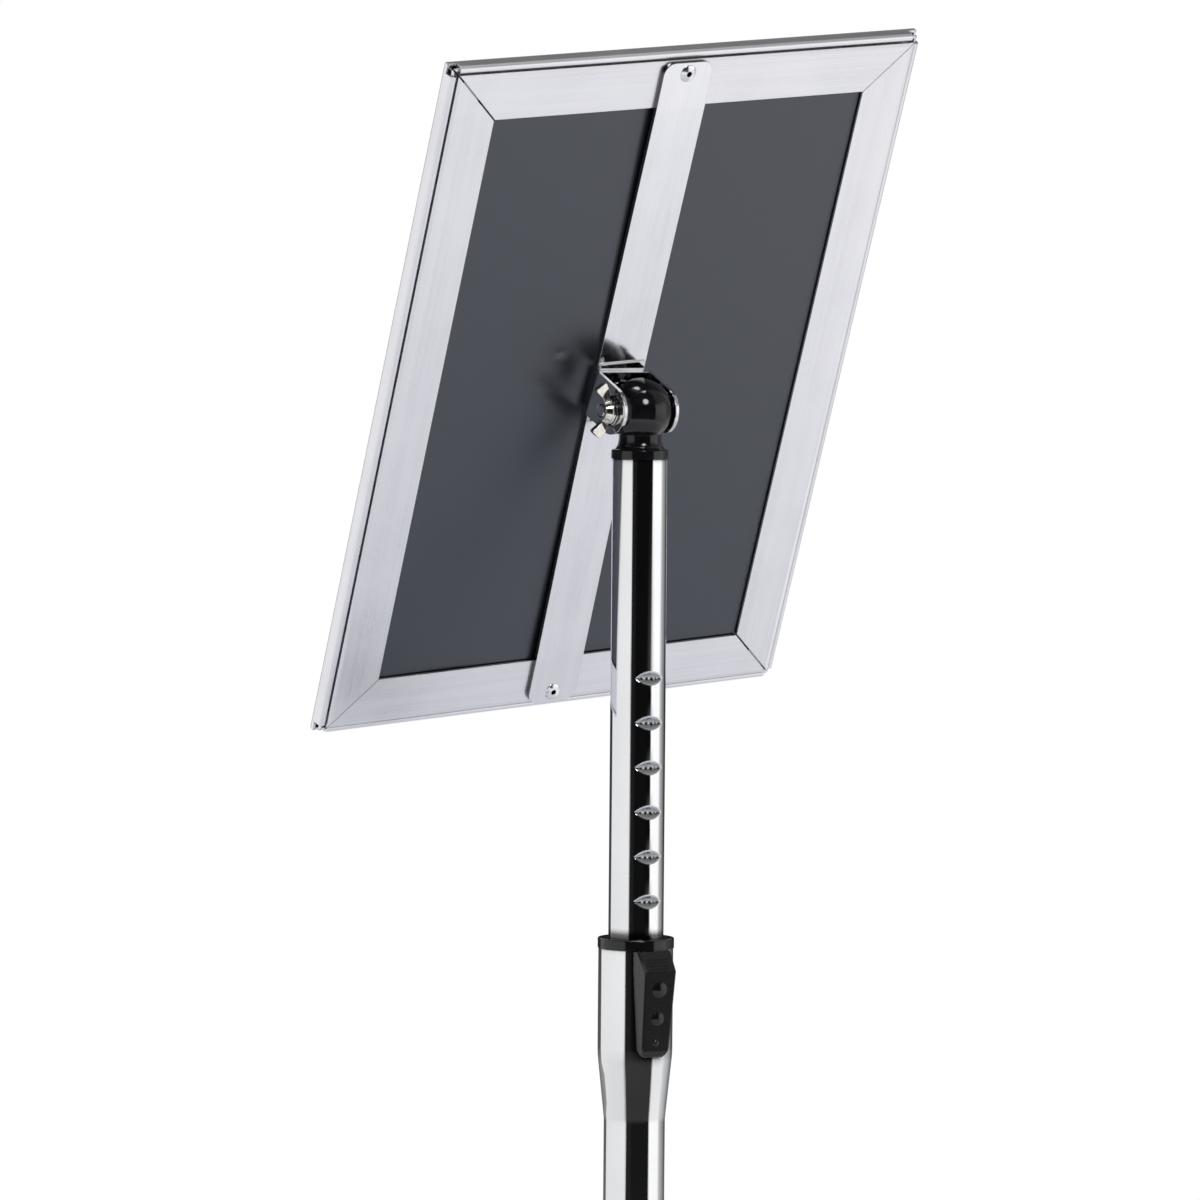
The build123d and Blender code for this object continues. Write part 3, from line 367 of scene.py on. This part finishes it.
def add_piece(name, points, faces, node, body):
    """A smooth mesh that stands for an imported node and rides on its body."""
    mesh = bpy.data.meshes.new(name)
    mesh.from_pydata(points, [], faces)
    mesh.polygons.foreach_set("use_smooth", [True] * len(mesh.polygons))
    mesh.set_sharp_from_angle(angle=math.radians(SHARP_ANGLE))
    mesh.validate()
    piece = bpy.data.objects.new(name, mesh)
    bpy.context.scene.collection.objects.link(piece)
    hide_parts(node)
    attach(piece, body)
    return piece


def closed_grid(rings, columns):
    """Faces of a grid of rings, closed round the pole and from the last ring to the first."""
    faces = []
    for ring in range(rings):
        lower = ring * columns
        upper = (ring + 1) % rings * columns
        for column in range(columns):
            after = (column + 1) % columns
            faces.append((lower + column, lower + after, upper + after, upper + column))
    return faces


def notch_depth(across, above):
    """Depth of a pressed notch at a distance round the tube and above the notch's middle."""
    share = 1 - (across / NOTCH_HALF_WIDTH) ** 2
    if share <= 0:
        return 0.0
    fall = 1 - (above / (NOTCH_HALF_HEIGHT * share)) ** 2
    if fall <= 0:
        return 0.0
    wrinkle = NOTCH_WRINKLE * random_noise.noise(Vector((across, above, 0)) * NOTCH_WRINKLE_SCALE)
    return share * fall ** NOTCH_ROUNDING * (NOTCH_DEPTH + wrinkle)


def tube_angles():
    """Angles round the tube from the latch's side, close together on the notches and wider past them."""
    arc = math.radians(NOTCH_ARC)
    fine = [arc * (2 * step / FINE_COLUMNS - 1) for step in range(FINE_COLUMNS + 1)]
    gap = (2 * math.pi - 2 * arc) / COARSE_COLUMNS
    return fine + [arc + gap * step for step in range(1, COARSE_COLUMNS)]


def tube_rows(bottom, top):
    """Heights of the tube's rings from the bottom up, each with its height above its notch's middle.

    The first and the last ring belong to no notch.
    """
    rows = [(bottom, None)]
    for notch in reversed(range(NOTCH_COUNT)):
        middle = HINGE.z - TOP_NOTCH_BELOW_HINGE - notch * NOTCH_PITCH
        for row in range(NOTCH_ROWS + 1):
            above = NOTCH_HALF_HEIGHT * (2 * row / NOTCH_ROWS - 1)
            rows.append((middle + above, above))
    rows.append((top, None))
    return rows


def make_upper_tube():
    """Upper tube with smooth notches pressed in along the latch's side."""
    low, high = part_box("upper_tube")
    radius = (high[0] - low[0]) / 2
    facing_latch = JOINTS["roller_slide"]["axis"]
    latch_angle = math.atan2(facing_latch[1], facing_latch[0])
    angles = tube_angles()
    rows = tube_rows(low[2], high[2])
    points = []
    skins = [(radius, rows), (radius - TUBE_WALL, list(reversed(rows)))]
    for skin_radius, skin_rows in skins:
        for height, above in skin_rows:
            for angle in angles:
                depth = 0.0 if above is None else notch_depth(angle * radius, above)
                turn = latch_angle + angle
                reach = skin_radius - depth
                points.append((reach * math.cos(turn), reach * math.sin(turn), height))
    faces = closed_grid(2 * len(rows), len(angles))
    return add_piece("upper_tube_skin", points, faces, "upper_tube", "mast")


def wire_faces(steps, sides):
    """Faces round a wire from one ring of points to the next, and one face on each end."""
    ring = list(range(sides))
    faces = [ring, [steps * sides + side for side in reversed(ring)]]
    for step in range(steps):
        start = step * sides
        for side in ring:
            after = (side + 1) % sides
            faces.append((start + side, start + sides + side, start + sides + after, start + after))
    return faces


def make_latch_spring():
    """Return spring's wire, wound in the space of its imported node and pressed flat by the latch."""
    low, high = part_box("latch_spring")
    middle = [(low[axis] + high[axis]) / 2 for axis in range(2)]
    winding = (high[0] - low[0]) / 2 - SPRING_WIRE_RADIUS
    steps = SPRING_TURNS * SPRING_STEPS
    rise = high[2] - low[2] - 2 * SPRING_WIRE_RADIUS
    points = []
    for step in range(steps + 1):
        turn = 2 * math.pi * step / SPRING_STEPS
        height = low[2] + SPRING_WIRE_RADIUS + rise * step / steps
        for side in range(SPRING_WIRE_SIDES):
            angle = 2 * math.pi * side / SPRING_WIRE_SIDES
            reach = winding + SPRING_WIRE_RADIUS * math.cos(angle)
            points.append((middle[0] + reach * math.cos(turn), middle[1] + reach * math.sin(turn),
                           height + SPRING_WIRE_RADIUS * math.sin(angle)))
    faces = wire_faces(steps, SPRING_WIRE_SIDES)
    spring = add_piece("latch_spring_coil", points, faces, "latch_spring", "stand")
    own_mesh(spring)
    return spring


def make_cover_sheet():
    """Cover sheet with its packed outline, and its inner face a hair clear of the insert."""
    outwards = sign_axes().col[THROUGH]
    packed = frame["nodes"]["clear_cover"].data
    insert = frame["nodes"]["insert_sheet"].data
    if insert.vertices[0].co.dot(outwards) > packed.vertices[0].co.dot(outwards):
        outwards = -outwards
    inner = min(vertex.co.dot(outwards) for vertex in packed.vertices)
    points = []
    for vertex in packed.vertices:
        touching = vertex.co.dot(outwards) < inner + COVER_GAP
        points.append(vertex.co + COVER_GAP * outwards if touching else vertex.co.copy())
    faces = [tuple(polygon.vertices) for polygon in packed.polygons]
    return add_piece("clear_cover_sheet", points, faces, "clear_cover", "sign")


def new_material(name, metallic=0.0):
    """A node material with its shader, and the short calls for its tree."""
    material = bpy.data.materials.new(name)
    material.use_nodes = True
    tree = Tree(material.node_tree)
    shader = material.node_tree.nodes["Principled BSDF"]
    shader.inputs["Metallic"].default_value = metallic
    return material, tree, shader


def dress(tree, shader, colour, roughness, normal=None):
    """Link a shader's colour and roughness, and its normal where one is given."""
    tree.link(colour, shader.inputs["Base Color"])
    tree.link(roughness, shader.inputs["Roughness"])
    if normal:
        tree.link(normal, shader.inputs["Normal"])


def place_in(tree, origin, axes, scale):
    """Object coordinates turned into a local frame and scaled."""
    inputs = {0: tree.add("ShaderNodeTexCoord").outputs["Object"], 1: origin, 2: axes.to_euler(),
              3: tuple(1 / value for value in scale)}
    return tree.add("ShaderNodeMapping", inputs, vector_type="TEXTURE").outputs[0]


def stand_place(tree, scale=(1, 1, 1)):
    """Object coordinates in the stand's own frame, scaled."""
    return place_in(tree, (0, 0, 0), Matrix.Identity(3), scale)


def brushed_place(tree, axes, along, scale_across, scale_along):
    """Object coordinates in the sign's frame, with a scale of their own along the brushing."""
    scale = [scale_across, scale_across, scale_across]
    scale[along] = scale_along
    return place_in(tree, tuple(HINGE), axes, scale)


def noise(tree, place, scale, detail):
    """Grey noise at a place."""
    inputs = {"Vector": place, "Scale": scale, "Detail": detail}
    return tree.add("ShaderNodeTexNoise", inputs).outputs["Fac"]


def two_tone(tree, grey, dark, light):
    """A noise as a tint between a dark and a light colour."""
    return tree.ramp(grey, ((NOISE_DARK, dark), (NOISE_LIGHT, light)))


def soft_edges(tree, radius):
    """Normal rounded over the sharp edges, as on pressed or moulded pieces."""
    return tree.add("ShaderNodeBevel", {"Radius": radius}, samples=BEVEL_SAMPLES).outputs[0]


def bump(tree, height, strength, distance, normal):
    """Normal from a height, over another normal."""
    inputs = {"Height": height, "Strength": strength, "Distance": distance, "Normal": normal}
    return tree.add("ShaderNodeBump", inputs).outputs[0]


def facing(tree, normal, direction, start, end):
    """0 to 1 mask of how far a normal lies along a direction, either way."""
    return tree.step(tree.math("ABSOLUTE", tree.dot(normal, direction)), start, end)


def painted_crevice_shade(tree, reach, darkest, start=0.3, end=0.62):
    """Painted shade: a grey tint, from ambient occlusion, that falls to a dark level in slots narrower than a
    reach.

    Start and end are the open shares of the surroundings at which it is darkest and untinted.
    """
    shading = tree.add("ShaderNodeAmbientOcclusion", {"Distance": reach}, samples=CREVICE_SAMPLES)
    return tree.ramp(shading.outputs["AO"], ((start, darkest), (end, 1.0)))


def chromed_steel(name, edge_radius):
    """Mirror chrome plate with faint lines along the pole, a slight haze, painted shade in its dents and soft
    edges.
    """
    material, tree, shader = new_material(name, metallic=1.0)
    haze = noise(tree, stand_place(tree), scale=28, detail=4)
    lines = noise(tree, stand_place(tree, CHROME_LINE_SCALE), scale=1.0, detail=1)
    tint = two_tone(tree, haze, dark=(0.84, 0.85, 0.87), light=(0.90, 0.905, 0.92))
    # Painted shade: ambient occlusion darkens the chrome's tint in the notches and close to neighbouring parts.
    tint = tree.multiplied(tint, painted_crevice_shade(tree, reach=0.005, darkest=0.12, start=0.78, end=0.98))
    edges = soft_edges(tree, edge_radius)
    dress(tree, shader, colour=tint, roughness=tree.scaled(haze, low=0.02, high=0.07),
          normal=bump(tree, lines, strength=0.05, distance=0.0002, normal=edges))
    return material


def bent_steel(name, shaded_edge_direction):
    """Chromed sheet metal with soft corners, and painted shade on the edge faces that point along one direction,
    either way.
    """
    material, tree, shader = new_material(name, metallic=1.0)
    haze = noise(tree, stand_place(tree), scale=60, detail=4)
    corners = soft_edges(tree, radius=0.0006)
    # Painted shade: edge faces pointing along one direction, either way, get a darker tint, standing in for the
    # dark they reflect.
    painted_shade_edges = facing(tree, corners, shaded_edge_direction, start=0.93, end=0.99)
    plate = two_tone(tree, haze, dark=(0.70, 0.71, 0.73), light=(0.84, 0.845, 0.86))
    painted_edge_shade = two_tone(tree, haze, dark=0.5, light=0.7)
    dress(tree, shader, colour=tree.blend(painted_shade_edges, plate, painted_edge_shade),
          roughness=tree.scaled(haze, low=0.04, high=0.10), normal=corners)
    return material


def nickel(name):
    """Bright nickel plate over a cast surface, with painted shade in its corners."""
    material, tree, shader = new_material(name, metallic=1.0)
    grain = noise(tree, stand_place(tree), scale=500, detail=3)
    tint = two_tone(tree, grain, dark=(0.78, 0.75, 0.69), light=(0.95, 0.93, 0.88))
    edges = soft_edges(tree, radius=0.0005)
    # Painted shade: ambient occlusion darkens the nickel's tint in its corners.
    dress(tree, shader, colour=tree.multiplied(tint, painted_crevice_shade(tree, reach=0.002, darkest=0.15)),
          roughness=tree.scaled(grain, low=0.06, high=0.14),
          normal=bump(tree, grain, strength=0.12, distance=0.0002, normal=edges))
    return material


def zinc_steel(name):
    """Zinc plated steel with a soft mottle."""
    material, tree, shader = new_material(name, metallic=1.0)
    mottle = noise(tree, stand_place(tree), scale=260, detail=4)
    tint = two_tone(tree, mottle, dark=(0.42, 0.42, 0.43), light=(0.62, 0.62, 0.63))
    dress(tree, shader, colour=tint, roughness=tree.scaled(mottle, low=0.25, high=0.42))
    return material


def brushed_aluminium(name, axes, along, rough, edge_radius, shaded_sides=False):
    """Clear anodised aluminium, brushed along one axis of the sign, with soft edges, painted shade in its slots
    and, where asked, painted shade on the sides that lie across the sheet.
    """
    material, tree, shader = new_material(name, metallic=1.0)
    streak_place = brushed_place(tree, axes, along, STREAK_SCALE_ACROSS, STREAK_SCALE_ALONG)
    streaks = noise(tree, streak_place, scale=1.0, detail=3)
    band_place = brushed_place(tree, axes, along, BAND_SCALE_ACROSS, BAND_SCALE_ALONG)
    bands = noise(tree, band_place, scale=1.0, detail=2)
    clouds = noise(tree, place_in(tree, tuple(HINGE), axes, (1, 1, 1)), scale=35, detail=3)
    mixed = tree.math("ADD", tree.math("MULTIPLY", streaks, STREAK_SHARE),
                      tree.math("MULTIPLY", bands, BAND_SHARE))
    mixed = tree.math("ADD", mixed, tree.math("MULTIPLY", clouds, CLOUD_SHARE))
    # Painted shade: ambient occlusion darkens the aluminium's tint in slots and grooves.
    tint = tree.multiplied(tree.ramp(mixed, BRUSHED_TINTS), painted_crevice_shade(tree, reach=0.003, darkest=0.05))
    # Painted shade: the side faces that lie across the sheet are tinted dark grey, standing in for the dark they
    # reflect.
    if shaded_sides:
        normal = tree.add("ShaderNodeTexCoord").outputs["Normal"]
        side = facing(tree, normal, axes.col[THROUGH], start=0.75, end=0.45)
        tint = tree.blend(side, tint, two_tone(tree, streaks, dark=0.10, light=0.20))
    edges = soft_edges(tree, edge_radius)
    dress(tree, shader, colour=tint, roughness=tree.scaled(mixed, *rough),
          normal=bump(tree, streaks, strength=0.06, distance=0.0001, normal=edges))
    return material


def plain_surface(name, dark, light, rough, grain_scale, grain_depth):
    """Plastic, paper, paint or rubber of one colour with a fine surface grain."""
    material, tree, shader = new_material(name)
    grain = noise(tree, stand_place(tree), scale=grain_scale, detail=3)
    edges = soft_edges(tree, radius=0.0004)
    dress(tree, shader, colour=two_tone(tree, grain, dark, light), roughness=tree.scaled(grain, *rough),
          normal=bump(tree, grain, strength=0.3, distance=grain_depth, normal=edges))
    return material


def laminated_panel(name):
    """Dark grey laminated panel with a soft even sheen."""
    material, tree, shader = new_material(name)
    clouds = noise(tree, stand_place(tree), scale=12, detail=2)
    tint = two_tone(tree, clouds, dark=(0.005, 0.006, 0.010), light=(0.007, 0.008, 0.013))
    dress(tree, shader, colour=tint, roughness=tree.scaled(clouds, low=0.27, high=0.31))
    shader.inputs["IOR"].default_value = 2.0
    shader.inputs["Specular Tint"].default_value = (0.84, 0.89, 1.0, 1)
    return material


def clear_film(name):
    """Clear sheet with a faintly matt face, which lets most of the light through."""
    material, tree, shader = new_material(name)
    wipe = noise(tree, stand_place(tree), scale=14, detail=3)
    tint = two_tone(tree, wipe, dark=(0.95, 0.97, 0.98), light=(0.99, 1.0, 1.0))
    dress(tree, shader, colour=tint, roughness=tree.scaled(wipe, low=0.12, high=0.2))
    shader.inputs["Alpha"].default_value = 0.22
    shader.inputs["IOR"].default_value = 1.49
    return material


def make_materials():
    """Every material, by the name that the nodes below ask for."""
    axes = sign_axes()
    profile = dict(axes=axes, rough=(0.22, 0.36), edge_radius=0.0004)
    recipes = {
        "chromed_tube": (chromed_steel, dict(edge_radius=0.0006)),
        "chromed_steel": (chromed_steel, dict(edge_radius=0.0003)),
        "bent_steel": (bent_steel, dict(shaded_edge_direction=axes.col[UPWARDS])),
        "nickel": (nickel, {}),
        "steel": (zinc_steel, {}),
        "aluminium_across": (brushed_aluminium, dict(profile, along=ACROSS)),
        "aluminium_upright": (brushed_aluminium, dict(profile, along=UPWARDS)),
        "strap_aluminium": (brushed_aluminium, dict(
            axes=axes, along=UPWARDS, rough=(0.09, 0.16), edge_radius=0.0003, shaded_sides=True)),
        "rivet_aluminium": (brushed_aluminium, dict(
            axes=axes, along=THROUGH, rough=(0.12, 0.2), edge_radius=0.0003)),
        "black_plastic": (plain_surface, dict(
            dark=(0.005, 0.005, 0.006), light=(0.010, 0.010, 0.012), rough=(0.08, 0.14),
            grain_scale=300, grain_depth=0.00001)),
        "matt_black_plastic": (plain_surface, dict(
            dark=(0.004, 0.004, 0.005), light=(0.010, 0.010, 0.011), rough=(0.1, 0.16),
            grain_scale=900, grain_depth=0.00001)),
        "grey_panel": (laminated_panel, {}),
        "paper": (plain_surface, dict(
            dark=(0.86, 0.86, 0.85), light=(0.93, 0.93, 0.92), rough=(0.7, 0.8),
            grain_scale=900, grain_depth=0.00003)),
        "clear_sheet": (clear_film, {}),
        "base_paint": (plain_surface, dict(
            dark=(0.018, 0.018, 0.02), light=(0.035, 0.035, 0.038), rough=(0.4, 0.55),
            grain_scale=1500, grain_depth=0.00015)),
        "rubber": (plain_surface, dict(
            dark=(0.012, 0.012, 0.012), light=(0.025, 0.025, 0.025), rough=(0.65, 0.8),
            grain_scale=800, grain_depth=0.0001)),
    }
    return {name: make(name, **settings) for name, (make, settings) in recipes.items()}


# Nodes whose finish isn't the one that their slot is named after
FINISHES = {
    "chromed_tube": ("upper_tube", "outer_tube"),
    "bent_steel": ("clevis_bracket", "friction_plate"),
    "aluminium_across": ("frame_top", "frame_bottom", "rail_top", "rail_bottom"),
    "aluminium_upright": ("frame_left", "frame_right", "rail_left", "rail_right"),
    "strap_aluminium": ("strap",),
    "rivet_aluminium": ("strap_rivets",),
}


def paint_nodes(materials):
    """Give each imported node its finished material, and the pieces that replace nodes theirs."""
    make_upper_tube().data.materials.append(materials["chromed_tube"])
    make_latch_spring().data.materials.append(materials["steel"])
    make_cover_sheet().data.materials.append(materials["clear_sheet"])
    chosen = {node: name for name, nodes in FINISHES.items() for node in nodes}
    for node, slot_name in SLOTS.items():
        name = chosen.get(node, slot_name)
        for slot in frame["nodes"][node].material_slots:
            slot.material = materials[name]


bpy.context.scene.view_settings.view_transform = "Standard"
make_camera()
make_world()
make_lights()
make_floor()
materials = make_materials()
paint_nodes(materials)
